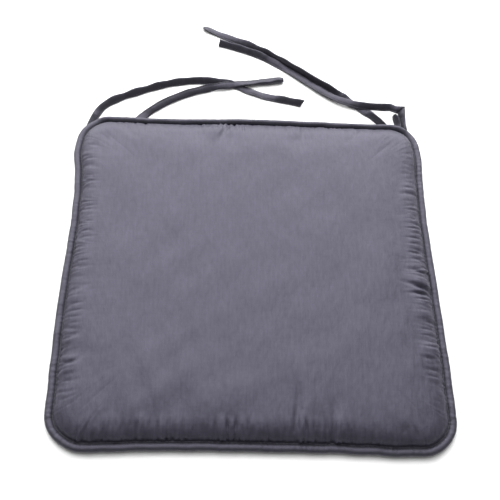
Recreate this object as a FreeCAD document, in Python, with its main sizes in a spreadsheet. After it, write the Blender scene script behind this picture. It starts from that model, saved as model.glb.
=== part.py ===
import FreeCAD, Part
import math
import os
import Sketcher
from FreeCAD import Rotation, Vector

# A square chair pad: two covers over a foam sheet, sewn together round the edge under a folded
# tape, with two pairs of flat ties sewn in at the rear corners.
# Frame: origin at the centre of the underside, +Z up, ties towards +Y. Millimetres.

doc = FreeCAD.newDocument("chair_seat_pad")
parts = []

# ---- driving dimensions ---------------------------------------------------------------------

SIZES = {
    "pad_side": 400,           # over the edge binding
    "pad_height": 19,          # underside to the top of the cover
    "corner_radius": 35,       # of the binding's outer edge, seen from above
    "seam_height": 5,          # middle of the edge seam above the underside
    "cover_thickness": 0.8,
    "cover_inset": 10,         # binding's outer edge to the covers' standing walls
    "seam_inset": 3,           # binding's outer edge to the covers' raw edges
    "lip_inset": 4,            # binding's outer edge to the edge of the foam's lip
    "shoulder_radius": 12,     # top cover's rounded shoulder
    "heel_radius": 3,          # bottom cover's rounded edge
    "lip_thickness": 1.1,      # foam pressed flat in the seam
    "foam_clearance": 0.2,
    "binding_reach": 9,        # width of each leaf of the folded tape
    "binding_height": 4.8,
    "tape_thickness": 1,       # one leaf
    "nose_radius": 2.39,       # of the fold
    "stitch_inset": 7.8,       # binding's outer edge to the line of stitches
    "thread_diameter": 0.5,
    "tie_width": 9,
    "tie_thickness": 1.6,      # tape folded in from both sides and closed
    "tie_thread_diameter": 0.4,
    "tie_stitch_offset": 3.4,  # tie's middle line to its row of stitches
    "tie_root_height": 1.8,    # tie's middle where it comes out from under the binding
    "hinge_reach": 2,          # binding's outer edge to the line that the ties lift about
    "hinge_gap": 0.3,          # from that line to the lifting tape
    "root_gap": 1.6,           # from that line to the sewn-in tape, so that the tape can stand up
    "bartack_length": 6.5,
    "bartack_width": 1.8,
    "bartack_height": 0.4,
    "bartack_from_end": 3,
    "cutter_height": 60,       # of the blocks that divide a tie at its hinge line
    "cutter_depth": 20,        # of that height, below the underside
}

SKETCH_START = 20    # inset and corner radius that a sketch is drawn with before its constraints
SAME_PLACE = 0.01    # how near two places are to count as one
EDGES_IN_LOOP = 8    # four sides and four corners
ARC_SHARE = 0.45     # of the shorter run at a corner of a tie's route, taken by its arc
LENGTH_STEPS = 60    # pieces that an edge is cut into to measure it on plan

sheet = doc.addObject("Spreadsheet::Sheet", "Sizes")
for row, (alias, value) in enumerate(SIZES.items(), start=1):
    sheet.set(f"A{row}", alias)
    sheet.set(f"B{row}", str(value))
    sheet.setAlias(f"B{row}", alias)
doc.recompute()


def cell(alias):
    return float(sheet.get(alias))


# Heights of the stack of layers in the seam, as expressions on the sheet.
LIP_TOP = "Sizes.seam_height + Sizes.lip_thickness / 2"
LIP_BOTTOM = "Sizes.seam_height - Sizes.lip_thickness / 2"
BINDING_BOTTOM = "Sizes.seam_height - Sizes.binding_height / 2"
FOLD_HEIGHT = "Sizes.binding_height - 2 * Sizes.tape_thickness"
FOLD_BOTTOM = f"{BINDING_BOTTOM} + Sizes.tape_thickness"
LEAF_STACK = f"({FOLD_HEIGHT} - Sizes.lip_thickness) / 2"

# ---- the rounded square that every layer follows ---------------------------------------------


def inset_of(point):
    """How far a point lies inside the pad's outer edge, seen from above."""
    corner = cell("pad_side") / 2 - cell("corner_radius")
    past_x = abs(point.x) - corner
    past_y = abs(point.y) - corner
    outside = math.hypot(max(past_x, 0), max(past_y, 0)) + min(max(past_x, past_y), 0)
    return cell("corner_radius") - outside


def rounded_square(body, name, inset, height):
    """A closed sketch at a height: the pad's outline drawn an inset further in."""
    sketch = body.newObject("Sketcher::SketchObject", name)
    origin = body.Origin.OriginFeatures
    flat = next(plane for plane in origin if plane.Role == "XY_Plane")
    sketch.AttachmentSupport = [(flat, "")]
    sketch.MapMode = "FlatFace"
    sketch.setExpression("AttachmentOffset.Base.z", height)

    radius = SKETCH_START
    side = cell("pad_side") / 2 - SKETCH_START
    corner = side - radius
    lines = []
    arcs = []
    for quarter in range(4):
        turn = Rotation(Vector(0, 0, 1), 90 * quarter)
        start = turn.multVec(Vector(side, -corner, 0))
        end = turn.multVec(Vector(side, corner, 0))
        centre = turn.multVec(Vector(corner, corner, 0))
        circle = Part.Circle(centre, Vector(0, 0, 1), radius)
        angle = math.radians(90 * quarter)
        lines.append(sketch.addGeometry(Part.LineSegment(start, end)))
        arcs.append(sketch.addGeometry(Part.ArcOfCircle(circle, angle, angle + math.pi / 2)))
    constraint = Sketcher.Constraint
    for quarter in range(4):
        following = (quarter + 1) % 4
        sketch.addConstraint(constraint("Tangent", lines[quarter], 2, arcs[quarter], 1))
        sketch.addConstraint(constraint("Tangent", arcs[quarter], 2, lines[following], 1))
        upright = "Vertical" if quarter % 2 == 0 else "Horizontal"
        sketch.addConstraint(constraint(upright, lines[quarter]))
    for quarter in range(1, 4):
        sketch.addConstraint(constraint("Equal", arcs[0], arcs[quarter]))
    for quarter in range(4):
        index = sketch.addConstraint(constraint("Distance", -1, 1, lines[quarter], side))
        sketch.setExpression(f"Constraints[{index}]", f"Sizes.pad_side / 2 - {inset}")
    index = sketch.addConstraint(constraint("Radius", arcs[0], radius))
    sketch.setExpression(f"Constraints[{index}]", f"Sizes.corner_radius - {inset}")
    return sketch


def raise_block(body, name, sketch, length):
    block = body.newObject("PartDesign::Pad", name)
    block.Profile = sketch
    block.setExpression("Length", length)
    doc.recompute()
    return block


def hollow_out(body, name, sketch, length):
    """Cuts upwards from the sketch."""
    hollow = body.newObject("PartDesign::Pocket", name)
    hollow.Profile = sketch
    hollow.Reversed = True
    hollow.setExpression("Length", length)
    before = body.Shape.Volume
    doc.recompute()
    if not hollow.Shape.Volume < before:
        raise RuntimeError(f"{name} cut nothing")
    return hollow


def round_edge(body, name, base, height, inset, radius):
    """Rounds the loop of edges that lies at a height and an inset."""
    names = []
    for number, edge in enumerate(base.Shape.Edges, start=1):
        ends = [vertex.Point for vertex in edge.Vertexes]
        middle = edge.valueAt((edge.FirstParameter + edge.LastParameter) / 2)
        if all(
            abs(point.z - height) < SAME_PLACE and abs(inset_of(point) - inset) < SAME_PLACE
            for point in ends + [middle]
        ):
            names.append(f"Edge{number}")
    if len(names) != EDGES_IN_LOOP:
        raise RuntimeError(f"{name} found {len(names)} edges")
    rounding = body.newObject("PartDesign::Fillet", name)
    rounding.Base = (base, names)
    rounding.setExpression("Radius", radius)
    doc.recompute()
    return rounding


def new_body(label):
    body = doc.addObject("PartDesign::Body", f"{label}_body")
    body.Label = label
    parts.append(body)
    doc.recompute()
    return body


# ---- foam core: a soft sheet, pressed to a thin lip where it is sewn -------------------------


def make_foam_core():
    body = new_body("foam_core")
    wall = "(Sizes.cover_inset + Sizes.cover_thickness + Sizes.foam_clearance)"
    inset = cell("cover_inset") + cell("cover_thickness") + cell("foam_clearance")
    skin = "Sizes.cover_thickness + Sizes.foam_clearance"
    low = cell("cover_thickness") + cell("foam_clearance")
    high = cell("pad_height") - low

    outline = rounded_square(body, "foam_outline", wall, skin)
    block = raise_block(body, "foam_block", outline, f"Sizes.pad_height - 2 * ({skin})")
    top = round_edge(body, "foam_shoulder", block, high, inset, f"Sizes.shoulder_radius - ({skin})")
    round_edge(body, "foam_heel", top, low, inset, f"Sizes.heel_radius - ({skin})")
    lip = rounded_square(body, "foam_lip_outline", "Sizes.lip_inset", LIP_BOTTOM)
    raise_block(body, "foam_lip", lip, "Sizes.lip_thickness")


# ---- covers: a domed top and a shallow tray, each with a flat edge for the seam ---------------


def make_top_cover():
    body = new_body("top_cover")
    height = cell("pad_height")
    thickness = cell("cover_thickness")
    inset = cell("cover_inset")

    edge = rounded_square(body, "top_edge_outline", "Sizes.seam_inset", LIP_TOP)
    raise_block(body, "top_edge", edge, LEAF_STACK)
    dome = rounded_square(body, "top_dome_outline", "Sizes.cover_inset", LIP_TOP)
    raise_block(body, "top_dome", dome, f"Sizes.pad_height - ({LIP_TOP})")
    inner = "(Sizes.cover_inset + Sizes.cover_thickness)"
    room = rounded_square(body, "top_room_outline", inner, LIP_TOP)
    depth = f"Sizes.pad_height - Sizes.cover_thickness - ({LIP_TOP})"
    hollow = hollow_out(body, "top_room", room, depth)
    inner_radius = "Sizes.shoulder_radius - Sizes.cover_thickness"
    ceiling = height - thickness
    room = round_edge(body, "top_room_shoulder", hollow, ceiling, inset + thickness, inner_radius)
    round_edge(body, "top_shoulder", room, height, inset, "Sizes.shoulder_radius")


def make_bottom_cover():
    body = new_body("bottom_cover")
    thickness = cell("cover_thickness")
    inset = cell("cover_inset")

    tray = rounded_square(body, "tray_outline", "Sizes.cover_inset", "0")
    raise_block(body, "tray_block", tray, LIP_BOTTOM)
    edge_height = f"{LIP_BOTTOM} - ({LEAF_STACK})"
    edge = rounded_square(body, "tray_edge_outline", "Sizes.seam_inset", edge_height)
    raise_block(body, "tray_edge", edge, LEAF_STACK)
    inner = "(Sizes.cover_inset + Sizes.cover_thickness)"
    room = rounded_square(body, "tray_room_outline", inner, "Sizes.cover_thickness")
    hollow = hollow_out(body, "tray_room", room, f"{LIP_BOTTOM} - Sizes.cover_thickness")
    inner_radius = "Sizes.heel_radius - Sizes.cover_thickness"
    room = round_edge(body, "tray_room_heel", hollow, thickness, inset + thickness, inner_radius)
    round_edge(body, "tray_heel", room, 0, inset, "Sizes.heel_radius")


# ---- edge binding: a tape folded over the seam, one leaf above and one below ------------------


def make_edge_binding():
    body = new_body("edge_binding")
    low = cell("seam_height") - cell("binding_height") / 2
    high = low + cell("binding_height")

    outline = rounded_square(body, "binding_outline", "0", BINDING_BOTTOM)
    block = raise_block(body, "binding_block", outline, "Sizes.binding_height")
    top = round_edge(body, "binding_upper_nose", block, high, 0, "Sizes.nose_radius")
    round_edge(body, "binding_lower_nose", top, low, 0, "Sizes.nose_radius")
    opening = rounded_square(body, "binding_opening", "Sizes.binding_reach", BINDING_BOTTOM)
    hollow_out(body, "binding_middle", opening, "Sizes.binding_height")
    fold = rounded_square(body, "fold_outline", "Sizes.tape_thickness", FOLD_BOTTOM)
    inner = hollow_out(body, "binding_fold", fold, FOLD_HEIGHT)
    thickness = cell("tape_thickness")
    inner_nose = "Sizes.nose_radius - Sizes.tape_thickness"
    ceiling = high - thickness
    top = round_edge(body, "fold_upper_nose", inner, ceiling, thickness, inner_nose)
    round_edge(body, "fold_lower_nose", top, low + thickness, thickness, inner_nose)


# ---- threads of the binding's seam ------------------------------------------------------------


def make_seam_thread(label, height):
    """A ring of square thread with rounded arrises, laid on a leaf of the binding."""
    body = new_body(label)
    middle = "Sizes.stitch_inset"
    outline = rounded_square(body, f"{label}_outline", f"({middle} - Sizes.thread_diameter / 2)", height)
    raise_block(body, f"{label}_ring", outline, "Sizes.thread_diameter")
    opening = rounded_square(body, f"{label}_opening", f"({middle} + Sizes.thread_diameter / 2)", height)
    hollow_out(body, f"{label}_middle", opening, "Sizes.thread_diameter")


# ---- ties: flat tapes that lie behind the pad, each pair crossing once ------------------------

# Each route starts where the tape is sewn in under the binding. Its first two points are level.
ROUTES = {
    "tie_left_outer": [
        (-190.7, 184, 1.8), (-185.8, 201, 1.8), (-179, 217, 1.6), (-163.5, 230, 1.2),
        (-134, 244, 0.9), (-98, 258.5, 0.9), (-60, 264.5, 0.9), (-22, 260.5, 0.9),
        (8, 245.5, 0.9), (36, 237.5, 0.9), (64, 231.2, 0.9),
    ],
    "tie_left_inner": [
        (-138, 196, 1.8), (-116, 219.5, 1.8), (-77, 243.5, 2.8), (-39, 255, 4), (-6, 260.5, 4),
        (18, 266, 2.4), (41, 269.6, 1.4),
    ],
    "tie_right_outer": [
        (185, 189, 1.8), (184.5, 206.5, 1.8), (185.5, 226.5, 2.6), (165.5, 226.6, 3.8),
        (136, 228.2, 4.2), (108, 237, 4.2), (81, 254.5, 2.8), (48, 282.5, 1.4), (22, 301.5, 0.9),
        (-8, 316.5, 0.9), (-39, 327, 0.9),
    ],
    "tie_right_inner": [
        (164.2, 195.8, 1.8), (148, 216, 1.8), (121, 240, 1), (83, 268, 0.9), (48, 295.5, 0.9),
        (5, 323, 0.9), (-30, 339, 0.9), (-60, 355, 0.9),
    ],
}


def smooth_path(points):
    """Straight runs joined by tangent arcs, each as large as its two runs allow."""
    corners = [Vector(*point) for point in points]
    edges = []
    radii = []
    here = corners[0]
    for before, corner, after in zip(corners, corners[1:], corners[2:]):
        back = before - corner
        forth = after - corner
        reach = ARC_SHARE * min(back.Length, forth.Length)
        half_turn = (math.pi - back.getAngle(forth)) / 2
        radius = reach / math.tan(half_turn)
        radii.append(radius)
        start = corner + back.normalize() * reach
        end = corner + forth.normalize() * reach
        inward = (back + forth).normalize()
        middle = corner + inward * (radius / math.cos(half_turn) - radius)
        edges.append(Part.LineSegment(here, start).toShape())
        edges.append(Part.Arc(start, middle, end).toShape())
        here = end
    edges.append(Part.LineSegment(here, corners[-1]).toShape())
    return Part.Wire(edges), radii


def sweep_upright(path, section):
    """Carries a closed section along the path without letting it roll."""
    shell = Part.BRepOffsetAPI.MakePipeShell(path)
    shell.setBiNormalMode(Vector(0, 0, 1))
    shell.add(section, False, False)
    shell.build()
    shell.makeSolid()
    return shell.shape()


def compare_volume(label, solid, area, path):
    """Prints a swept solid's volume against its section times its path's length on plan."""
    length = sum(
        math.hypot(b.x - a.x, b.y - a.y)
        for edge in path.Edges
        for a, b in zip(edge.discretize(LENGTH_STEPS), edge.discretize(LENGTH_STEPS)[1:])
    )
    print(f"{label}: {path.Length:.1f} mm long, volume / expected {solid.Volume / (area * length):.4f}")


def first_direction(points):
    return (Vector(*points[1]) - Vector(*points[0])).normalize()


def make_tie(label, points):
    path, radii = smooth_path(points)
    print(f"{label}: radii", " ".join(f"{radius:.0f}" for radius in radii))
    start = Vector(*points[0])
    across = first_direction(points).cross(Vector(0, 0, 1))
    width = cell("tie_width")
    thickness = cell("tie_thickness")

    up = Vector(0, 0, thickness / 2)
    side = across * (width / 2)
    corners = [start + side + up, start - side + up, start - side - up, start + side - up]
    tape = sweep_upright(path, Part.makePolygon(corners + corners[:1]))
    compare_volume(label, tape, width * thickness, path)

    thread_radius = cell("tie_thread_diameter") / 2
    row = start + across * cell("tie_stitch_offset") + up + Vector(0, 0, thread_radius)
    circle = Part.Circle(row, first_direction(points), thread_radius)
    thread = sweep_upright(path, Part.Wire([circle.toShape()]))

    whole = doc.addObject("Part::Feature", f"{label}_whole_tape")
    whole.Shape = tape
    whole_thread = doc.addObject("Part::Feature", f"{label}_whole_thread")
    whole_thread.Shape = thread
    add_common(f"{label}_root", whole, behind_hinge)
    add_common(label, whole, past_hinge)
    add_common(f"{label}_stitching", whole_thread, past_hinge)
    add_bartack(f"{label}_bartack", points)


def add_block(name, low_y, high_y):
    """A block over everything between two lines parallel to the pad's rear edge."""
    block = doc.addObject("Part::Box", name)
    block.setExpression("Length", "Sizes.pad_side * 2")
    block.setExpression("Width", f"({high_y}) - ({low_y})")
    block.setExpression("Height", "Sizes.cutter_height")
    block.setExpression("Placement.Base.x", "-Sizes.pad_side")
    block.setExpression("Placement.Base.y", low_y)
    block.setExpression("Placement.Base.z", "-Sizes.cutter_depth")
    return block


def add_common(label, base, tool):
    common = doc.addObject("Part::Common", f"{label}_common")
    common.Base = base
    common.Tool = tool
    common.Label = label
    parts.append(common)


def add_bartack(label, points):
    """A block of dense stitches under the root of a tie, holding it to the binding."""
    bar = doc.addObject("Part::Box", f"{label}_box")
    bar.Label = label
    bar.setExpression("Length", "Sizes.bartack_width")
    bar.setExpression("Width", "Sizes.bartack_length")
    bar.setExpression("Height", "Sizes.bartack_height")
    along = first_direction(points)
    across = Vector(0, 0, 1).cross(along)
    corner = Vector(*points[0]) + along * (cell("bartack_from_end") - cell("bartack_width") / 2)
    corner = corner - across * (cell("bartack_length") / 2)
    corner.z = cell("tie_root_height") - cell("tie_thickness") / 2 - cell("bartack_height")
    heading = math.degrees(math.atan2(along.y, along.x))
    bar.Placement = FreeCAD.Placement(corner, Rotation(Vector(0, 0, 1), heading))
    parts.append(bar)


# ---- build ------------------------------------------------------------------------------------

make_foam_core()
make_top_cover()
make_bottom_cover()
make_edge_binding()
make_seam_thread("binding_needle_thread", "Sizes.seam_height + Sizes.binding_height / 2")
make_seam_thread("binding_bobbin_thread", f"{BINDING_BOTTOM} - Sizes.thread_diameter")

HINGE_LINE = "Sizes.pad_side / 2 + Sizes.hinge_reach"
behind_hinge = add_block("behind_hinge", "0", f"{HINGE_LINE} - Sizes.root_gap")
past_hinge = add_block("past_hinge", f"{HINGE_LINE} + Sizes.hinge_gap", "Sizes.pad_side * 2")
for tie, route in ROUTES.items():
    make_tie(tie, route)
doc.recompute()

# ---- check and export -------------------------------------------------------------------------

for item in doc.Objects:
    if "Invalid" in item.State or "Error" in item.State:
        raise RuntimeError(f"{item.Name} failed: {item.State}")
for part in parts:
    shape = part.Shape
    if shape.isNull() or not shape.isValid() or not shape.Solids:
        raise RuntimeError(f"{part.Label} has no valid solid")

os.makedirs("parts", exist_ok=True)
for part in parts:
    part.Shape.exportStep(f"parts/{part.Label}.step")
    box = part.Shape.BoundBox
    print(
        f"{part.Label}: {len(part.Shape.Solids)} solid, {part.Shape.Volume / 1000:.2f} cm3,",
        f"{box.XLength:.1f} x {box.YLength:.1f} x {box.ZLength:.1f}, z from {box.ZMin:.2f}",
    )
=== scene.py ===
# %% [markdown]
# # A bound chair pad with four ties
# This pad is two satin covers over a sheet of foam. A folded tape is sewn round the whole edge, and four
# flat ties of the same tape come out at the rear corners. Everything is in metres, with +Z up and the ties
# towards +Y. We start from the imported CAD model, because it says where every piece goes.

# %% Load the frame
import math
import bpy
import numpy as np
from mathutils import Matrix, Vector


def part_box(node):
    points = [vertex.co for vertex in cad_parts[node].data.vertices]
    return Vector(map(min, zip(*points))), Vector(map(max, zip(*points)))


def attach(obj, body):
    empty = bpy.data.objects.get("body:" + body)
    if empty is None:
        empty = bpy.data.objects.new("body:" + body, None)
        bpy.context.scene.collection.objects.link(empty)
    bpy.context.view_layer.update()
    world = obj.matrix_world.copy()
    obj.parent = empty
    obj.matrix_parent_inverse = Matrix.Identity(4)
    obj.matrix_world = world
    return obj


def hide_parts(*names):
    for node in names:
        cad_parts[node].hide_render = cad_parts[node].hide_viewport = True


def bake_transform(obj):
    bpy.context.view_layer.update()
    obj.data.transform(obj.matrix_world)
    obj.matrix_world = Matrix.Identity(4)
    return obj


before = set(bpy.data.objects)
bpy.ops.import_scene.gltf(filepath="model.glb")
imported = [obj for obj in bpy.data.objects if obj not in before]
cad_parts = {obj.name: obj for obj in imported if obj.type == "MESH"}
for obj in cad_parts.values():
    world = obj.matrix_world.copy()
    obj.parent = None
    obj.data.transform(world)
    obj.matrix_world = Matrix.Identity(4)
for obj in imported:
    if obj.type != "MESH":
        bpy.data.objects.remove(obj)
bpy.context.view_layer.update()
MM = 0.001

# %% [markdown]
# ## The sizes that drive the shapes
# Lengths are read from the CAD boxes where they can be. The rest are a sewer's own numbers: how long a
# stitch is, how far the seam lies from the edge, how large the corner is.

# %% Sizes
HALF_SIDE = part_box("edge_binding")[1].x
PAD_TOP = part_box("top_cover")[1].z
CORNER_RADIUS = 35 * MM
STRAIGHT = HALF_SIDE - CORNER_RADIUS
SIDE_LENGTH = 2 * STRAIGHT + CORNER_RADIUS * math.pi / 2
STITCH_LENGTH = 3.1 * MM
TIE_WIDTH = 9 * MM
print("half side", round(HALF_SIDE, 4), "top", round(PAD_TOP, 4), "one side's edge", round(SIDE_LENGTH, 4))

# %% [markdown]
# ## Camera, floor and light
# The camera looks down from in front, about sixty degrees below level, a little turned and tilted as a
# hand-held camera is. The floor is plain and pale. The strongest lamp is a soft box behind the pad: satin
# mirrors it towards the viewer from every level stretch, and stays dark where it leans forward.

# %% Camera
CAMERA_PLACE = Vector((-0.0419, -0.4167, 0.7618))
LOOK_DOWN, TURN, TILT = (math.radians(angle) for angle in (59.79, -5.28, 5.79))
camera_data = bpy.data.cameras.new("camera")
camera_data.lens = 58.04
camera_data.sensor_width = 36
camera = bpy.data.objects.new("camera", camera_data)
heading = Matrix.Rotation(TURN, 4, "Z") @ Matrix.Rotation(math.pi / 2 - LOOK_DOWN, 4, "X")
camera.matrix_world = Matrix.Translation(CAMERA_PLACE) @ heading @ Matrix.Rotation(TILT, 4, "Z")
bpy.context.scene.collection.objects.link(camera)
bpy.context.scene.camera = camera
bpy.context.scene.view_settings.view_transform = "Standard"
print("camera looks along", [round(x, 3) for x in camera.matrix_world.to_3x3() @ Vector((0, 0, -1))])


# %% Floor and lamps
def soft_box(name, place, aim, size, power):
    """A rectangular lamp at a place, turned to face the aim."""
    data = bpy.data.lights.new(name, "AREA")
    data.shape = "RECTANGLE"
    data.size, data.size_y = size
    data.energy = power
    lamp = bpy.data.objects.new(name, data)
    direction = Vector(aim) - Vector(place)
    turned = direction.to_track_quat("-Z", "Y").to_matrix().to_4x4()
    lamp.matrix_world = Matrix.Translation(place) @ turned
    bpy.context.scene.collection.objects.link(lamp)
    return lamp


soft_box("rear softbox", (-0.3, 1.25, 1.45), (0, 0, 0), (4.2, 1.2), 60)
soft_box("low rear strip", (0, 1.7, 0.75), (0, 0, 0), (4.0, 0.5), 60)
soft_box("overhead softbox", (0, 0.5, 2.2), (0, 0, 0), (2.0, 1.6), 31)
world = bpy.data.worlds.new("studio")
bpy.context.scene.world = world
world.use_nodes = True
sky = world.node_tree.nodes["Background"]
sky.inputs["Color"].default_value = (1, 1, 1, 1)
sky.inputs["Strength"].default_value = 0.28

FLOOR_HALF = 6
floor_mesh = bpy.data.meshes.new("floor")
floor_corners = [(x * FLOOR_HALF, y * FLOOR_HALF, 0) for x, y in ((-1, -1), (1, -1), (1, 1), (-1, 1))]
floor_mesh.from_pydata(floor_corners, [], [(0, 1, 2, 3)])
floor = bpy.data.objects.new("floor", floor_mesh)
bpy.context.scene.collection.objects.link(floor)
print("lamps", sorted(lamp.name for lamp in bpy.data.lights))


# %% [markdown]
# ## Shader maths that reads like Python
# A shader is a graph of small sums. Wrapping a socket in a class that has `+`, `-` and `*` lets us write
# those sums as expressions, and one method adds every other kind of node.

# %% Sockets with operators
class Wire:
    """An output socket of a finish, which Python's operators work on."""

    def __init__(self, finish, socket):
        self.finish = finish
        self.socket = socket

    def maths(self, operation, *values):
        return self.finish.node("ShaderNodeMath", {"operation": operation}, *values)

    def __add__(self, other):
        return self.maths("ADD", self, other)

    def __radd__(self, other):
        return self.maths("ADD", other, self)

    def __sub__(self, other):
        return self.maths("SUBTRACT", self, other)

    def __rsub__(self, other):
        return self.maths("SUBTRACT", other, self)

    def __mul__(self, other):
        return self.maths("MULTIPLY", self, other)

    def __rmul__(self, other):
        return self.maths("MULTIPLY", other, self)

    def sine(self):
        return self.maths("SINE", self)


class Finish:
    """A material with a Principled shader, built up by node()."""

    def __init__(self, name):
        self.material = bpy.data.materials.new(name)
        self.material.use_nodes = True
        self.tree = self.material.node_tree
        self.shader = self.tree.nodes["Principled BSDF"]

    def connect(self, socket, value):
        if isinstance(value, Wire):
            self.tree.links.new(value.socket, socket)
        else:
            socket.default_value = value

    def node(self, kind, settings=None, *values, output=0, **named):
        """Adds a node: its settings first, then its sockets in order or by name."""
        made = self.tree.nodes.new(kind)
        for name, setting in (settings or {}).items():
            if name == "stops":
                for element, (place, colour) in zip(made.color_ramp.elements, setting):
                    element.position = place
                    element.color = (*colour, 1)
            else:
                setattr(made, name, setting)
        for socket, value in zip(made.inputs, values):
            self.connect(socket, value)
        for name, value in named.items():
            self.connect(made.inputs[name.replace("_", " ")], value)
        return Wire(self, made.outputs[output])

    def noise(self, place, scale, detail, roughness=0.5):
        """Noise read at a place; a scale of (x, y) stretches the place first."""
        if isinstance(scale, tuple):
            place = self.node("ShaderNodeMapping", Vector=place, Scale=(*scale, 1))
            scale = 1.0
        sockets = dict(Vector=place, Scale=scale, Detail=detail, Roughness=roughness)
        return self.node("ShaderNodeTexNoise", **sockets)

    def ramp(self, tone, *stops):
        """A colour for each tone, between two (place, colour) stops."""
        return self.node("ShaderNodeValToRGB", {"stops": stops}, tone)

    def shade(self, **sockets):
        """Sets or links the Principled shader's own sockets."""
        for name, value in sockets.items():
            self.connect(self.shader.inputs[name.replace("_", " ")], value)
        return self.material


# %% [markdown]
# ## Satin
# Covers and tapes are one polyester satin. Its long floating threads lie side by side, so the cloth takes
# little colour from its dye and much from the sheen of the threads: a dark base under a broad, faintly
# lilac reflection. The pattern reads a UV map in metres that each piece carries, so it follows the cloth
# round every fold. Four scales matter: single threads, streaks of thicker yarn, slubs (thick spots in the
# yarn, a few millimetres apart, which tilt the cloth a little) and a slow unevenness.

# %% Satin
SLUB_RELIEF = 14.0
TONE_ENDS = 0.36, 0.64
COVER_YARN = 0.6 * MM
TAPE_YARN = 0.5 * MM


def satin(name, dark, light, roughness, yarn, relief=0.3):
    """Colour and roughness from streaks along the cloth, picks across it, patches and slubs; bump from
    threads crossing over and under, and from the same streaks, picks and slubs."""
    cloth = Finish(name)
    place = cloth.node("ShaderNodeUVMap", {"uv_map": "cloth"})
    streaks = cloth.noise(place, (430, 40), 4.0, 0.65)
    picks = cloth.noise(place, (70, 520), 3.0, 0.6)
    patches = cloth.noise(place, 26.0, 4.0, 0.6)
    slubs = cloth.noise(place, (190, 80), 2.0)
    along_warp = cloth.node("ShaderNodeSeparateXYZ", {}, place)
    along_weft = cloth.node("ShaderNodeSeparateXYZ", {}, place, output=1)
    turns = 2 * math.pi / yarn
    weave = (along_warp * turns).sine() * (along_weft * (turns / 2)).sine()
    tone = streaks * 0.30 + picks * 0.15 + patches * 0.27 + slubs * 0.28
    relief_map = weave * 0.35 + streaks * 0.45 + picks * 0.2 + slubs * SLUB_RELIEF
    bump = cloth.node("ShaderNodeBump", Strength=relief, Distance=0.12 * MM, Height=relief_map)
    return cloth.shade(
        Base_Color=cloth.ramp(tone, (TONE_ENDS[0], dark), (TONE_ENDS[1], light)),
        Roughness=tone * 0.24 + (roughness - 0.12),
        Normal=bump,
        IOR=1.5,
        Specular_Tint=(0.80, 0.77, 1.0, 1),
        Sheen_Weight=0.06,
        Sheen_Roughness=0.4,
        Sheen_Tint=(0.8, 0.78, 1.0, 1),
    )


top_satin = satin("satin_top", (0.020, 0.019, 0.027), (0.050, 0.0475, 0.065), 0.50, COVER_YARN)
base_satin = satin("satin_base", (0.026, 0.025, 0.034), (0.040, 0.038, 0.051), 0.54, COVER_YARN)
tape_satin = satin("satin_tape", (0.020, 0.0195, 0.025), (0.034, 0.033, 0.042), 0.50, TAPE_YARN)
# The ties are the binding's tape, but their satin is a darker copy: painted shade for faces that lean away
# from the lamps.
tie_satin_painted_shade = satin("satin_ties_painted_shade", (0.010, 0.0098, 0.012), (0.020, 0.0195, 0.024), 0.50, TAPE_YARN)


# %% [markdown]
# Sewing thread is two strands twisted together, so its bump is a diagonal stripe. Cut foam shows cells.

# %% Thread and foam
TWIST_ALONG, TWIST_AROUND = 0.5 * MM, 0.8 * MM


def twisted_thread(name, colour, lighter):
    """Diagonal stripes along and round the strand stand for its twist: they raise the bump, and their crests
    are painted lighter, a painted highlight.
    """
    thread = Finish(name)
    place = thread.node("ShaderNodeUVMap", {"uv_map": "cloth"})
    along = thread.node("ShaderNodeSeparateXYZ", {}, place)
    around = thread.node("ShaderNodeSeparateXYZ", {}, place, output=1)
    stripes = (along * (2 * math.pi / TWIST_ALONG) + around * (2 * math.pi / TWIST_AROUND)).sine() * 0.5 + 0.5
    # Lighter on the raised crests of the stripes: painted highlight.
    tint = thread.ramp(stripes, (0.2, colour), (0.9, lighter))
    bump = thread.node("ShaderNodeBump", Strength=0.6, Distance=0.08 * MM, Height=stripes)
    return thread.shade(Base_Color=tint, Roughness=stripes * 0.1 + 0.45, Normal=bump, Sheen_Weight=0.1)


def cut_foam(name):
    """Round cells, darker in their hollows as painted shade, over a slow yellowing."""
    foam = Finish(name)
    place = foam.node("ShaderNodeTexCoord", output=3)
    cells = foam.node("ShaderNodeTexVoronoi", Vector=place, Scale=900.0)
    slow = foam.noise(place, 30.0, 3.0)
    # The cells darken the colour where the bump sinks, a painted shade in the pores; the slow noise is a real
    # yellowing.
    tint = foam.ramp(cells * 0.6 + slow * 0.4, (0.1, (0.50, 0.46, 0.34)), (0.7, (0.80, 0.77, 0.63)))
    bump = foam.node("ShaderNodeBump", Strength=0.7, Distance=0.4 * MM, Height=cells)
    return foam.shade(Base_Color=tint, Roughness=slow * 0.1 + 0.85, Normal=bump)


thread_finish = twisted_thread("sewing_thread", (0.030, 0.029, 0.036), (0.075, 0.072, 0.09))
foam_finish = cut_foam("foam")


# %% [markdown]
# The floor is a sheet of pale matt paper, a little uneven in how it scatters light.

# %% Floor finish
backdrop = Finish("backdrop")
floor_place = backdrop.node("ShaderNodeTexCoord", output=3)
fibres = backdrop.noise(floor_place, 300.0, 2.0)
floor_mesh.materials.append(backdrop.shade(Base_Color=(0.93, 0.93, 0.93, 1), Roughness=fibres * 0.05 + 0.9))
print("finishes", sorted(material.name for material in bpy.data.materials))


# %% [markdown]
# ## Turning arrays into pieces
# Every new piece is a grid of points worked out by numpy. These helpers only put arrays into a mesh: some
# make the faces of a grid and of its ends, one writes the mesh with its cloth map.

# %% Mesh helpers
def wound_outwards(points, groups):
    """The faces, turned over if their signed volume says that they face inwards."""
    volume = 0
    for corners, _ in groups:
        a, b = points[corners[:, 0]], points[corners[:, 1]]
        for k in range(2, corners.shape[1]):
            c = points[corners[:, k]]
            volume += np.einsum("ij,ij->", a, np.cross(b, c))
            b = c
    if volume > 0:
        return groups
    return [(corners[:, ::-1], cloth[:, ::-1]) for corners, cloth in groups]


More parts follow.
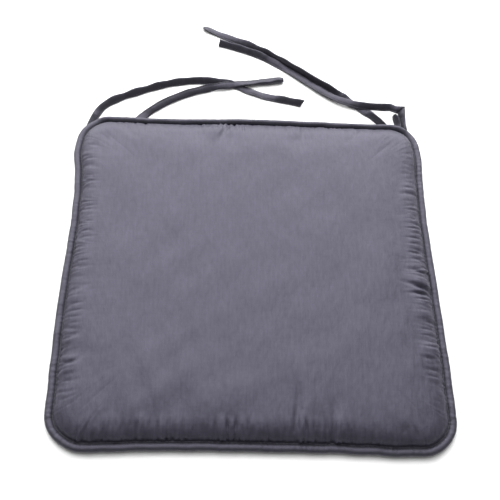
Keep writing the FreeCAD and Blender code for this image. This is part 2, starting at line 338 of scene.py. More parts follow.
def make_piece(name, points, groups, finish, closed=True):
    """A mesh object. groups is a list of (corner indices, cloth map of each corner in metres)."""
    points = np.asarray(points, float).reshape(-1, 3)
    if closed:
        groups = wound_outwards(points, groups)
    mesh = bpy.data.meshes.new(name)
    mesh.from_pydata(points.tolist(), [], [face for corners, _ in groups for face in corners.tolist()])
    layer = mesh.uv_layers.new(name="cloth")
    layer.data.foreach_set("uv", np.concatenate([cloth.reshape(-1) for _, cloth in groups]))
    mesh.shade_smooth()
    mesh.materials.append(finish)
    mesh.update()
    made = bpy.data.objects.new(name, mesh)
    bpy.context.scene.collection.objects.link(made)
    return made


def grid_faces(rows, columns, maps=None, wrap_rows=False, wrap_columns=False):
    """Corner indices of a grid's quads. With maps, the cloth place of each row and of each column (one more
    value where the grid wraps), also the cloth map of the corners."""
    i, j = np.meshgrid(np.arange(rows if wrap_rows else rows - 1),
                       np.arange(columns if wrap_columns else columns - 1), indexing="ij")
    i, j = i.ravel(), j.ravel()
    corners = [(i, j), (i + 1, j), (i + 1, j + 1), (i, j + 1)]
    index = np.stack([(a % rows) * columns + b % columns for a, b in corners], 1)
    if maps is None:
        return index
    return index, np.stack([np.stack([maps[0][a], maps[1][b]], 1) for a, b in corners], 1)


def end_fans(rows, columns):
    """Triangles that close a tube: from the two points kept after the grid's own to its end rows."""
    k, last, extra = np.arange(columns), (rows - 1) * columns, rows * columns
    return np.concatenate([
        np.stack([np.full(columns, extra), (k + 1) % columns, k], 1),
        np.stack([np.full(columns, extra + 1), last + k, last + (k + 1) % columns], 1),
    ])


def lengths_along(points):
    """Distance along a line of points, from 0."""
    return np.concatenate([[0], np.cumsum(np.linalg.norm(np.diff(points, axis=0), axis=1))])


def cut_corners(outline):
    """A closed outline with its corners cut: it keeps the quarter points of every edge."""
    line = np.asarray(outline, float)
    ahead = np.roll(line, -1, axis=0)
    return np.stack([0.75 * line + 0.25 * ahead, 0.25 * line + 0.75 * ahead], 1).reshape(-1, 2)


def waves(place, wavelength, seed, turn=None, terms=14):
    """Uneven ripples of about one wavelength: a sum of sines whose lengths and starts differ. With turn,
    they repeat exactly after that distance."""
    chance = np.random.default_rng(seed)
    counts = chance.uniform(0.72, 1.4, terms) / wavelength
    if turn is not None:
        counts = np.round(counts * turn) / turn
    starts = chance.uniform(0, 2 * np.pi, terms)
    total = sum(np.sin(2 * np.pi * count * place + start) for count, start in zip(counts, starts))
    return total * math.sqrt(2 / terms)


def smoothstep(value, low=0.0, high=1.0):
    """0 below low, 1 above high, and eased at both ends in between."""
    share = np.clip((value - low) / (high - low), 0, 1)
    return share * share * (3 - 2 * share)


print("helpers ready")


# %% [markdown]
# ## The ties, as limp cords
# A tie is a strip of satin folded into a narrow double tape, about nine millimetres wide, closed by one row
# of stitches near its open edge. It has no stiffness, so it lies on the floor, leans over in places and
# crosses its neighbour. Its route is the CAD route: the same points, as control points of a NURBS spline.
# The tape is a section carried along that spline. At each distance the section leans to one side or the
# other, which is what makes a real tape show its bright face in one place and its dark one in the next.

# %% Tie routes, in millimetres
TIE_ROUTES = {
    "tie_left_outer": [
        (-190.7, 184, 1.8), (-185.8, 201, 1.8), (-179, 217, 1.6), (-163.5, 230, 1.2), (-134, 244, 0.9),
        (-98, 258.5, 0.9), (-60, 264.5, 0.9), (-22, 260.5, 0.9), (8, 245.5, 0.9), (36, 237.5, 0.9),
        (64, 231.2, 0.9),
    ],
    "tie_left_inner": [
        (-138, 196, 1.8), (-116, 219.5, 1.8), (-77, 243.5, 2.8), (-39, 255, 4), (-6, 260.5, 4),
        (18, 266, 2.4), (41, 269.6, 1.4),
    ],
    "tie_right_outer": [
        (185, 189, 1.8), (184.5, 204.5, 2.2), (185.5, 226.5, 7.6), (165.5, 226.6, 6.4), (136, 228.2, 5.4),
        (108, 237.5, 4.6), (82, 257, 2.9), (49, 285.5, 1.4), (22, 304, 0.9), (-8, 317.5, 0.9),
        (-39, 327, 0.9),
    ],
    "tie_right_inner": [
        (164.2, 195.8, 1.8), (148, 216, 1.8), (121, 240, 1), (83, 267, 3.4), (48, 294, 3.8),
        (5, 323, 1.6), (-30, 339, 0.9), (-60, 355, 0.9),
    ],
}


def spline_line(name, route):
    """Points read from the order 3 NURBS curve that has the route as its control points."""
    data = bpy.data.curves.new(name, "CURVE")
    data.dimensions = "3D"
    data.resolution_u = 24
    spline = data.splines.new("NURBS")
    spline.points.add(len(route) - 1)
    for point, place in zip(spline.points, route):
        point.co = (*(x * MM for x in place), 1)
    spline.order_u = 3
    spline.use_endpoint_u = True
    holder = bpy.data.objects.new(name, data)
    traced = bpy.data.meshes.new_from_object(holder)
    line = np.zeros(len(traced.vertices) * 3)
    traced.vertices.foreach_get("co", line)
    bpy.data.objects.remove(holder)
    bpy.data.meshes.remove(traced)
    return line.reshape(-1, 3)


tie_lines = {name: spline_line(name, route) for name, route in TIE_ROUTES.items()}
for name, line in tie_lines.items():
    print(name, "spline length", round(lengths_along(line)[-1], 4))

# %% [markdown]
# The tape is two layers of cloth with their raw edges turned in. The folded edge stays plump. The other edge
# is open, and the row of stitches beside it pinches the layers together, so the section is thick at one side
# and has a waist at the other. One closed outline says all that, and it is the same for every tie.

# %% The tape's section
# Across runs from the plump folded edge at -4.5 to the open, stitched edge at +4.5; the row of stitches
# pinches it at 3.2. Millimetres, with the corners cut once.
TAPE_SECTION = cut_corners(
    [
        (-4.6, 0.0), (-4.4, 0.95), (-3.2, 1.4), (-1.0, 1.45), (1.2, 1.25), (2.5, 0.85), (3.2, 0.5),
        (3.9, 0.72), (4.6, 0.5), (4.3, 0.04), (4.3, -0.04), (4.6, -0.5), (3.9, -0.6), (3.2, -0.45),
        (1.2, -0.95), (-1.0, -1.15), (-3.2, -1.1), (-4.4, -0.8),
    ]
) * MM
TIE_STEP = 0.8 * MM
STITCH_ACROSS = 3.2 * MM
STITCH_UP = 0.78 * MM
ROOT_SWELL, ROOT_END, FREE_START = 0.55, 12 * MM, 30 * MM
FLOOR_GAP = 0.1 * MM
TACK_START, TACK_END, TACK_COUNT, TACK_DROP, TACK_SLANT = 3 * MM, 9.5 * MM, 14, 0.75 * MM, 0.12
ROW_START, ROW_MARGIN = 18 * MM, 2 * MM
# Half the length, width and height of a stitch
TIE_STITCH = 1.25 * MM, 0.24 * MM, 0.18 * MM
TACK_STITCH = 3.1 * MM, 0.24 * MM, 0.2 * MM
EDGE_STITCH = 1.25 * MM, 0.26 * MM, 0.2 * MM
print("tape section", len(TAPE_SECTION), "points,", round(np.ptp(TAPE_SECTION[:, 0]) / MM, 1), "mm wide")


def keyed(distance, keys):
    """A value eased through (millimetres along, value) keys."""
    places, values = np.array(keys, float).T
    place = np.clip(distance / MM, places[0], places[-1])
    after = np.clip(np.searchsorted(places, place), 1, len(places) - 1)
    share = smoothstep((place - places[after - 1]) / (places[after] - places[after - 1]))
    return values[after - 1] * (1 - share) + values[after] * share


def tape_frames(line, lean_keys, corner=None):
    """Place, forward, across and face directions at even steps. Across is level and square to the line, then
    turned about the line by the keyed lean. At a folded corner the line runs straight into the corner point,
    and across slants towards the bisector, so the outer edge meets in a sharp point."""
    traced = lengths_along(line)
    distance = np.linspace(0, traced[-1], round(traced[-1] / TIE_STEP) + 1)
    place = np.stack([np.interp(distance, traced, line[:, k]) for k in range(3)], 1)
    forward = np.gradient(place, distance, axis=0)
    slant = np.zeros(len(distance))
    near = np.zeros(len(distance))
    if corner is not None:
        point, reach = np.array(corner[0]) * MM, corner[1] * MM
        middle = np.argmin(np.linalg.norm(place[:, :2] - point, axis=1))
        offset = distance - distance[middle]
        steps = round(reach / TIE_STEP)
        leg = np.where((offset < 0)[:, None], forward[middle - steps], forward[middle + steps])
        leg[:, 2] = 0
        leg /= np.linalg.norm(leg, axis=1)[:, None]
        near = 1 - smoothstep(np.abs(offset), 0.4 * reach, reach)
        sharp = np.concatenate([point + leg[:, :2] * offset[:, None], place[:, 2:]], 1)
        place = place * (1 - near[:, None]) + sharp * near[:, None]
        forward = np.gradient(place, distance, axis=0)
        forward = forward * (1 - near[:, None]) + leg * near[:, None]
        slant = np.where(offset < 0, 1, -1) * (1 - smoothstep(np.abs(offset), 0, 0.7 * reach))
    forward /= np.linalg.norm(forward, axis=1)[:, None]
    level = np.cross(forward, (0, 0, 1))
    level /= np.linalg.norm(level, axis=1)[:, None]
    up = np.cross(level, forward)
    lean = np.radians(keyed(distance, lean_keys))[:, None]
    across = level * np.cos(lean) - up * np.sin(lean) + forward * slant[:, None]
    face = up * np.cos(lean) + level * np.sin(lean)
    return distance, place, forward, across, face, near


def tie_tape(name, line, lean_keys, stitched=1, plump=1.0, corner=None, end_slant=0.0, end_round=0.0,
             end_plump=0.0, seed=1):
    """The folded tape: place + across * u + face * v for each point (u, v) of the section. It is thin where
    it is sewn down, swells between stitches, and is raised until its lowest point clears the floor. stitched
    is 1 or -1, the side its stitches are on. Towards its end the cloth may open and widen by end_plump, be
    cut slanting by end_slant, and narrow by end_round."""
    distance, place, forward, across, face, near = tape_frames(line, lean_keys, corner)
    total = distance[-1]
    u, v = TAPE_SECTION[:, 0] * stitched, TAPE_SECTION[:, 1]
    swell = ROOT_SWELL + (1 - ROOT_SWELL) * smoothstep(distance, ROOT_END, FREE_START)
    swell = plump * swell * (1 + 0.05 * np.cos(2 * np.pi * distance / STITCH_LENGTH))
    opened = smoothstep(distance, total - 50 * MM, total - 10 * MM)
    swell = swell * (1 + 0.1 * waves(distance, 24 * MM, seed)) * (1 + 0.5 * near ** 4)
    swell = swell * (1 + end_plump * opened)
    width = 1 + 0.035 * waves(distance, 30 * MM, seed + 1) + 0.18 * end_plump * opened
    closing = 1 - end_round * smoothstep(distance, total - 5 * MM, total) ** 2
    push = smoothstep(distance, total - 8 * MM, total) * end_slant
    us = u * (width * closing)[:, None]
    vs = v * swell[:, None]
    wander = 0.12 * MM * waves(distance, 9 * MM, seed + 2)[:, None] * (u / TIE_WIDTH)
    grid = (
        place[:, None] + across[:, None] * us[..., None] + face[:, None] * (vs + wander)[..., None]
        + forward[:, None] * (us * push[:, None])[..., None]
    )
    sink = np.clip(FLOOR_GAP - grid[..., 2].min(1), 0, None)
    bell = np.hanning(17)
    raised = np.maximum(np.convolve(np.pad(sink, len(bell) // 2, "edge"), bell / bell.sum(), "valid"), sink)
    grid[..., 2] += raised[:, None]
    centre = place + np.stack([0 * sink, 0 * sink, raised], 1)
    around = lengths_along(np.concatenate([TAPE_SECTION, TAPE_SECTION[:1]]))
    rows, columns = grid.shape[:2]
    groups = [grid_faces(rows, columns, (distance, around), wrap_columns=True)]
    first = np.arange(columns)
    for index in (first[::-1], (rows - 1) * columns + first):
        groups.append((index[None], np.stack([u, v], 1)[None]))
    # The tape wears the ties' darker satin: painted shade.
    made = make_piece(name, grid, groups, tie_satin_painted_shade)
    return made, (distance, centre, forward, across, face, swell)


# %% [markdown]
# A stitch seen from outside is a short length of thread that dives into the cloth at both ends. So each one
# is a small closed bead, longer than it is wide, and a row of them is one piece. A bar tack is the same bead
# many times over, side by side across the tape: that is how a machine locks a tape into a seam.

# %% Stitches as small closed beads
def bead_shape(around=6, rings=4):
    """A unit bead along x: ring radii follow a half circle, and one point closes each end."""
    turn = np.linspace(0, 2 * np.pi, around, endpoint=False)
    along = np.linspace(-0.8, 0.8, rings)
    radius = np.sqrt(1 - along ** 2)
    sides = (np.outer(radius, way(turn)).ravel() for way in (np.cos, np.sin))
    body = np.stack([np.repeat(along, around), *sides], 1)
    points = np.concatenate([body, [(-1, 0, 0), (1, 0, 0)]])
    maps = along, np.linspace(0, 1, around + 1)
    quads, quad_map = grid_faces(rings, around, maps, wrap_columns=True)
    caps = end_fans(rings, around)
    cap_map = np.stack([points[caps][..., 0], points[caps][..., 1] * 0.5 + 0.5], -1)
    return points, quads, quad_map, caps, cap_map


def stitch_row(name, places, forward, across, up, half_sizes):
    """One bead per stitch: place + forward * x + across * y + up * z, scaled to the stitch."""
    points, quads, quad_map, caps, cap_map = bead_shape()
    count = len(places)
    x, y, z = (points * half_sizes).T
    grid = (
        places[:, None] + forward[:, None] * x[:, None] + across[:, None] * y[:, None]
        + up[:, None] * z[:, None]
    )
    shift = (np.arange(count) * len(points))[:, None, None]
    groups = []
    for faces, cloth in ((quads, quad_map), (caps, cap_map)):
        scaled = cloth * (half_sizes[0], 3 * half_sizes[1])
        groups.append(((faces[None] + shift).reshape(-1, faces.shape[1]), np.tile(scaled, (count, 1, 1))))
    return make_piece(name, grid, groups, thread_finish)


def picked(values, distance, places):
    """Each column of values at these distances."""
    return np.stack([np.interp(places, distance, values[:, k]) for k in range(values.shape[1])], 1)


def tie_stitches(name, frames, stitched):
    """A stitch every STITCH_LENGTH from beyond the bar tack, along the pinched line of the upper face."""
    distance, centre, forward, across, face, swell = frames
    places = np.arange(ROW_START, distance[-1] - ROW_MARGIN, STITCH_LENGTH) + STITCH_LENGTH / 2
    height = np.interp(places, distance, swell)[:, None] * STITCH_UP
    ahead, side, up = (picked(x, distance, places) for x in (forward, across, face))
    at = picked(centre, distance, places) + side * (stitched * STITCH_ACROSS) + up * height
    return stitch_row(name, at, ahead, side, up, TIE_STITCH)


def bar_tack(name, frames):
    """Close stitches across the tape, by turns slanting left and right, where it is sewn down."""
    distance, centre, forward, across, face, _ = frames
    places = np.linspace(TACK_START, TACK_END, TACK_COUNT)
    ahead, side, up = (picked(x, distance, places) for x in (forward, across, face))
    slant = np.where(np.arange(TACK_COUNT) % 2, TACK_SLANT, -TACK_SLANT)[:, None]
    along = side + ahead * slant
    at = picked(centre, distance, places) - up * TACK_DROP
    return stitch_row(name, at, along, ahead, up, TACK_STITCH)


# %% [markdown]
# Now the ties themselves. Each is one ribbon from under the binding to its cut end, with its row of
# stitches and its bar tack. A short end of tape, turned back when the right outer tie was sewn in,
# stands up beside that tie's root.

# %% Make the four ties
# Leans are degrees at millimetres along the tie. On the left ties a positive lean turns the face towards
# the front, and on the right ones, which run the other way, a negative lean does.
TIE_WAYS = {
    "tie_left_outer": dict(
        lean_keys=[(0, 0), (10, 28), (20, 36), (27, 24), (38, 38), (150, 42), (200, 36), (218, 0), (240, -4),
                   (252, 8), (270, 36), (292, 40)],
        end_slant=-0.45, plump=0.95, seed=3,
    ),
    "tie_left_inner": dict(
        lean_keys=[(0, 0), (12, 10), (28, 34), (104, 38), (132, 20), (154, -14), (200, -20)],
        stitched=-1, end_round=0.25, end_plump=0.9, plump=1.05, seed=17,
    ),
    "tie_right_outer": dict(
        lean_keys=[(0, -6), (8, -40), (24, -46), (40, -20), (54, -40), (78, -40), (104, -6), (120, 4),
                   (185, 6), (212, -20), (236, -42), (290, -44)],
        corner=((184.5, 223), 15), stitched=-1, plump=0.95, seed=31,
    ),
    "tie_right_inner": dict(
        lean_keys=[(0, -20), (8, -54), (26, -54), (38, -4), (58, 0), (72, -30), (86, -62), (176, -68),
                   (206, -40), (240, -14), (262, 12), (277, 26)],
        end_round=0.55, stitched=-1, plump=0.9, seed=47,
    ),
}
TURNED_END = [(178.8, 188, 2.2), (178.6, 199, 2.6), (177.4, 208, 5.4), (174.6, 214.5, 6.6)]
TURNED_LEAN = [(0, -10), (8, -50), (30, -62)]
turned_end, _ = tie_tape("tie_right_outer_turned_end", spline_line("turned_end", TURNED_END), TURNED_LEAN,
                         stitched=-1, plump=0.95, end_round=0.3, seed=61)
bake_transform(turned_end)
for name, way in TIE_WAYS.items():
    line = tie_lines[name]
    tape, frames = tie_tape(name + "_ribbon", line, **way)
    row = tie_stitches(name + "_stitch_row", frames, way.get("stitched", 1))
    tack = bar_tack(name + "_bar_tack", frames)
    for piece in (tape, row, tack):
        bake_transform(piece)
    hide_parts(name, name + "_root")
    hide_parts(name + "_stitching")
    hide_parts(name + "_bartack")


# %% [markdown]
# ## One outline for the whole pad
# Covers, binding and stitches all follow the same edge, so they share one function. A point on the edge has
# a perimeter number: 0 to 1 runs up the right side, 1 to 2 along the rear, 2 to 3 down the left and 3 to 4
# along the front. A sewn edge is never straight: the tape pulls it in a little along each side and lets it
# bulge near the corners, and every few centimetres it wanders by a few tenths of a millimetre.

# %% The edge
ARC_SHARE = STRAIGHT / (SIDE_LENGTH / 2)
LOOP_LENGTH = 4 * SIDE_LENGTH
BULGE_FADE = 45 * MM
# side, millimetres along it from its middle (towards +X or +Y), how far out, how wide
EDGE_BULGES = [
    ("right", 150, 1.4, 20), ("right", 60, -1.9, 45), ("right", -125, 1.4, 45),
    ("rear", -100, -1.8, 45), ("rear", 0, 1.2, 35), ("rear", 140, -1.2, 30),
    ("left", 150, 4.0, 20), ("left", 60, -2.3, 45), ("left", -65, 1.0, 45),
    ("front", -150, 1.6, 18), ("front", -50, -1.1, 55), ("front", 145, 2.6, 30),
    ("front", -192, -1.2, 14),
]
SIDE_NUMBER = {"right": 0, "rear": 1, "left": 2, "front": 3}
SIDE_SENSE = {"right": 1, "rear": -1, "left": -1, "front": 1}


def loop_place(side, along):
    """Distance round the edge, in metres, of a point on a named side."""
    return (SIDE_NUMBER[side] + 0.5) * SIDE_LENGTH + SIDE_SENSE[side] * along


def loop_gap(place, centre):
    """Signed distance round the loop, the shorter way."""
    return (place - centre + LOOP_LENGTH / 2) % LOOP_LENGTH - LOOP_LENGTH / 2


def loop_waves(place, wavelength, seed):
    """Waves that close on themselves round the edge; the wavelength is in millimetres."""
    return waves(place, wavelength * MM, seed, LOOP_LENGTH)


def with_bells(total, place, bells, unit):
    """total, plus a bell curve for each (side, millimetres along it, height, width)."""
    for side, along, height, width in bells:
        gap = loop_gap(place, loop_place(side, along * MM)) / (width * MM)
        total = total + height * unit * np.exp(-0.5 * gap ** 2)
    return total


def edge_bulge(perimeter, inset=0):
    """How far out the edge stands: a bell curve for each bulge, and fine waves. It fades inwards."""
    place = perimeter * SIDE_LENGTH
    wander = 0.16 * MM * loop_waves(place, 46, 5) + 0.05 * MM * loop_waves(place, 11, 6)
    return with_bells(wander, place, EDGE_BULGES, MM) * np.exp(-(inset / BULGE_FADE) ** 2)


def on_side(perimeter):
    """Place across the side, from -1 to 1, and its number, with the cosine and sine of its quarter turns."""
    side = np.floor(perimeter) % 4
    across = 2 * (perimeter - np.floor(perimeter)) - 1
    return across, side, np.cos(side * np.pi / 2), np.sin(side * np.pi / 2)


def rounded_ring(perimeter, half, radius):
    """x, y and the outward direction on a square with rounded corners: each corner is an arc."""
    across, side, c, s = on_side(perimeter)
    straight = np.clip(across / ARC_SHARE, -1, 1) * (half - radius)
    past = np.clip(np.abs(across) - ARC_SHARE, 0, None) / (1 - ARC_SHARE) * np.pi / 4
    turn = side * np.pi / 2 + np.sign(across) * past
    outward = np.stack([np.cos(turn), np.sin(turn)], -1)
    centre = np.stack([(half - radius) * c - straight * s, (half - radius) * s + straight * c], -1)
    return centre + np.asarray(radius)[..., None] * outward, outward


def edge_ring(perimeter, inset):
    """The bulging edge moved in by inset; the bulge fades over the first few centimetres."""
    base, outward = rounded_ring(perimeter, HALF_SIDE - inset, CORNER_RADIUS - inset)
    return base + outward * edge_bulge(perimeter, inset)[..., None], outward


bulges = edge_bulge(np.linspace(0, 4, 999)) / MM
print("loop", round(LOOP_LENGTH, 4), "bulges, mm", round(bulges.min(), 1), "to", round(bulges.max(), 1))

# %% [markdown]
# ## The covers
# Each cover is cut flat and a little too large, then caught at its edge by the binding. So it rises steeply
# from the seam, rolls over the foam's edge and lies flat on top, and the spare cloth stands in fine puckers
# along the seam. We describe it with two numbers: the perimeter number, and m, which is 1 at the seam and 0
# in the middle. In the band beside the seam, down to BAND_START, m is measured along the cloth itself, so
# that the cells keep their size on the steep part.

# %% The roll of the cover
SEAM_INSET = 9.4 * MM
BAND_INSET = 64 * MM
BAND_START = 0.74
INNER_HALF = HALF_SIDE - BAND_INSET
INNER_RADIUS = 12 * MM
TOP_CROWN = 1.0 * MM
SPARE_REACH = 20 * MM


def roll_profile(low, high, reach, power):
    """A quarter of a superellipse from the seam up to the flat top, then level: inset and height."""
    turn = np.linspace(0, np.pi / 2, 60)
    inset = reach * (1 - np.cos(turn) ** (2 / power))
    height = low + (high - low) * np.sin(turn) ** (2 / power)
    inset = np.append(inset, BAND_INSET - SEAM_INSET)
    height = np.append(height, high)
    return inset, height, lengths_along(np.stack([inset, height], 1))


TOP_ROLL = roll_profile(6.2 * MM, PAD_TOP - 0.7 * MM, 20.5 * MM, 2.0)
BASE_ROLL = roll_profile(4.2 * MM, 0.05 * MM, 9 * MM, 2.0)
print("cloth from the seam to the band's end", round(float(TOP_ROLL[2][-1]), 4))


def cover_shape(perimeter, m, roll, crown):
    """Place, outward normal, distance from the seam along the cloth, and flat cloth map of a cover."""
    inset_line, height_line, cloth_line = roll
    cloth_total = cloth_line[-1]
    from_seam = np.clip((1 - m) / (1 - BAND_START), 0, 1) * cloth_total
    inside = np.clip(1 - m / BAND_START, 0, 1) * INNER_HALF
    inset = np.interp(from_seam, cloth_line, inset_line)
    height = np.interp(from_seam, cloth_line, height_line)
    step = 0.4 * MM
    beyond, before = (np.interp(from_seam + way, cloth_line, height_line) for way in (step, -step))
    slope = (beyond - before) / (2 * step)
    band = inset / (BAND_INSET - SEAM_INSET)
    half = (HALF_SIDE - SEAM_INSET) * (1 - band) + INNER_HALF * band
    radius = (CORNER_RADIUS - SEAM_INSET) * (1 - band) + INNER_RADIUS * band
    outer, outward = rounded_ring(perimeter, half, radius)
    outer = outer + outward * edge_bulge(perimeter, inset + SEAM_INSET)[..., None]
    share = np.clip(m / BAND_START, 0, 1)
    across, _, c, s = on_side(perimeter)
    square = np.stack([c - across * s, s + across * c], -1) * INNER_HALF
    inner = share[..., None] * (square + (outer - square) * (share ** 6)[..., None])
    plan = np.where((m < BAND_START)[..., None], inner, outer)
    rise = crown * (1 - (plan[..., 0] / INNER_HALF) ** 2) * (1 - (plan[..., 1] / INNER_HALF) ** 2)
    height = height + np.where(m < BAND_START, rise, 0)
    lift = np.sign(height_line[-1] - height_line[0])
    flat = np.sqrt(np.clip(1 - slope ** 2, 0, 1)) * lift
    normal = np.concatenate([outward * (slope * lift)[..., None], flat[..., None]], -1)
    normal = np.where((m < BAND_START)[..., None], np.array([0, 0, lift]), normal)
    spare = (cloth_total - (BAND_INSET - SEAM_INSET)) * (1 - np.clip(from_seam / SPARE_REACH, 0, 1))
    cloth = plan + outward * (spare * (m >= BAND_START))[..., None]
    return np.concatenate([plan, height[..., None]], -1), normal, from_seam + inside, cloth


# %% [markdown]
# Puckers come in families: hair-fine ones right at the stitches, broader ones that reach further in. Each
# family is an uneven ripple along the seam that dies away from it. Where the sewer held back the tape more
# they are deeper, and round the corners the cloth is calm. Where the cloth turns from the top into the roll
# it takes short nicks, and a few long creases cross the roll: each is a valley with a ridge beside it.

# %% Puckers and creases
# wavelength, depth, reach inwards, all in millimetres, and a seed
PUCKER_FAMILIES = [
    (3.6, 0.20, 3.6, 11), (5.2, 0.44, 7.0, 12), (9, 0.30, 13, 13), (22, 0.18, 17, 14), (55, 0.16, 26, 15),
]
# Nicks: spacing in millimetres, then how far from the seam, how long and how deep
NICK_SPACING, NICK_CENTRE, NICK_REACH, NICK_DEPTH = 8, 17 * MM, 6.5 * MM, 0.26 * MM
CORNER_START = 0.8
CREASE_SCALE = 0.62
RIDGE_BESIDE = 1.9
# side, millimetres along it, how much deeper, width
PUCKERED_STRETCHES = [
    ("right", -10, 0.8, 32), ("right", -60, 0.3, 60), ("left", -100, 0.35, 35), ("left", 60, 0.3, 40),
    ("front", 50, 0.6, 45), ("front", -120, 0.9, 30), ("front", 0, 0.35, 90), ("right", -110, 0.15, 30),
    ("rear", -30, 0.3, 40), ("rear", 120, 0.3, 35),
    ("front", -186, -0.9, 22), ("front", 186, -0.7, 22), ("rear", 186, -0.7, 22), ("rear", -186, -0.7, 22),
]
# inner end x, y; outer end x, y; depth; width, in millimetres
CREASES = [
    (156.9, -20.2, 187, -28.2, 2.5, 2.3), (160, -33.5, 187.4, -34.6, 1.5, 1.9),
    (161.9, -3.4, 186, -10, 1.3, 2.0), (163, 92, 188, 93, 0.6, 2.4),
    (164.1, 52.2, 187, 53, 0.6, 2.2), (168, 22, 187, 18, 0.8, 2.0),
    (166, -62, 187, -66, 0.8, 2.2), (163, -104, 187, -110, 0.6, 2.6),
    (45, -131, 39.5, -182, 2.9, 3.2), (78.2, -150, 76, -187, 2.0, 2.6), (-12, -158, -18, -186, 0.7, 3.0),
    (-116, -166, -112, -187, 1.0, 2.2), (-96, -163, -93, -187, 0.8, 2.2),
    (-168, -110, -187, -119, 1.1, 2.3), (-172, -84, -187, -90, 0.9, 2.2), (-166, -30, -187, -35, 0.7, 2.4),
    (-166, 62, -187, 64, 0.7, 2.4), (-168, 118, -187, 122, 0.6, 2.2),
    (-38.3, 155.7, -25.5, 186, 2.4, 2.6), (62, 158, 60, 186, 1.5, 2.8), (118, 162, 127, 186, 0.8, 2.4),
]


def beside_edge(perimeter, plan):
    """Distance round the edge of the nearest seam point: square to the seam along each side, and easing to
    the perimeter number at the corners."""
    across, side, c, s = on_side(perimeter)
    square = plan[..., 1] * c - plan[..., 0] * s
    cornered = smoothstep(np.abs(across), CORNER_START, 1)
    return (side + 0.5) * SIDE_LENGTH + square * (1 - cornered) + across * SIDE_LENGTH / 2 * cornered


def puckers(perimeter, plan, from_seam, depth=1.0):
    """Sum over the families of ripple * depth * exp(-distance / reach), nothing at the seam itself, less the
    nicks, which are the crests of a wave times a bell across the shoulder. Strength varies along the seam."""
    place = beside_edge(perimeter, plan)
    strength = with_bells(0.75 + 0.35 * loop_waves(place, 90, 21), place, PUCKERED_STRETCHES, 1)
    strength = np.clip(strength, 0.12, 2.2)
    total = 0
    for wavelength, high, reach, seed in PUCKER_FAMILIES:
        bent = place + 0.25 * from_seam * loop_waves(place, 3 * wavelength, seed + 50)
        ripple = loop_waves(bent, wavelength, seed)
        ripple = ripple - 0.22 * (ripple ** 2 - 1)
        fade = np.exp(-from_seam / (reach * MM)) * (1 - np.exp(-from_seam / (1.2 * MM + reach * MM / 14)))
        total = total + ripple * fade * (high * MM)
    cornered = smoothstep(np.abs(on_side(perimeter)[0]), CORNER_START, 1)
    calm = 1 - 0.92 * cornered * smoothstep(from_seam, 0, 16 * MM)
    nicks = np.clip(loop_waves(place, NICK_SPACING, 16), 0, None) ** 1.5
    nicks = nicks * np.exp(-((from_seam - NICK_CENTRE) / NICK_REACH) ** 2)
    return (total - NICK_DEPTH * nicks) * strength * calm * depth


def creases(plan):
    """For each crease, a valley and a ridge beside it, fading at the inner end and towards the seam."""
    total = np.zeros(plan.shape[:-1])
    for x0, y0, x1, y1, depth, width in CREASES:
        start, end = np.array([x0, y0]) * MM, np.array([x1, y1]) * MM
        run = end - start
        length = np.linalg.norm(run)
        ahead = run / length
        offset = plan - start
        along = offset @ ahead / length
        bend = 0.03 * length * np.sin(np.pi * np.clip(along, 0, 1))
        beside = (offset @ np.array([-ahead[1], ahead[0]]) - bend) / (width * MM)
        ends = smoothstep(along, -0.25, 0.75) * (1 - smoothstep(along, 0.95, 1.2))
        spread = np.where(beside < RIDGE_BESIDE, 1.3, 4.0)
        ridge = 0.8 * np.exp(-((beside - RIDGE_BESIDE) / spread) ** 2)
        total += CREASE_SCALE * ends * depth * MM * (ridge - np.exp(-beside ** 2))
    return total


def slow_swell(plan):
    """The wadding is never even: low hills a hand's breadth apart."""
    x, y = plan[..., 0], plan[..., 1]
    hills = waves(x + 0.3 * y, 120 * MM, 31) * waves(y - 0.2 * x, 150 * MM, 32)
    ripples = waves(x - 0.15 * y, 46 * MM, 33) * waves(y + 0.4 * x, 70 * MM, 34)
    return 0.35 * MM * hills + 0.16 * MM * ripples


# %% [markdown]
# ## Letting the cloth find its own shape
# The larger wrinkles come from a cloth simulation. A coarse copy of the cover is told that its true size is
# a little larger (TOP_SPARE), it is pinned all round the seam, and a light pressure stands for the wadding.
# After some frames we keep only how far each point moved, and add that to the fine cover.

# %% Cloth simulation of a cover
SIM_CELLS = 110
SIM_COUNT = SIM_CELLS + 1
SIM_FRAMES = 24
SIM_CAP = 3.0 * MM
TOP_SPARE, TOP_PRESSURE = 0.022, 0.6
STILL = np.zeros((SIM_COUNT, SIM_COUNT, 3))


def square_grid(cells):
    """Perimeter number and m of every point of an even square grid from -1 to 1."""
    line = np.linspace(-1, 1, cells + 1)
    s, t = np.meshgrid(line, line, indexing="ij")
    m = np.maximum(np.abs(s), np.abs(t))
    safe = np.maximum(m, 1e-9)
    right = s >= np.abs(t)
    rear = (t >= np.abs(s)) & ~right
    left = (-s >= np.abs(t)) & ~right & ~rear
    across = np.select([right, rear, left], [t, -s, -t], s) / safe
    side = np.select([right, rear, left], [0, 1, 2], 3)
    return np.clip(side + (across + 1) / 2, side, side + 1 - 1e-9), m


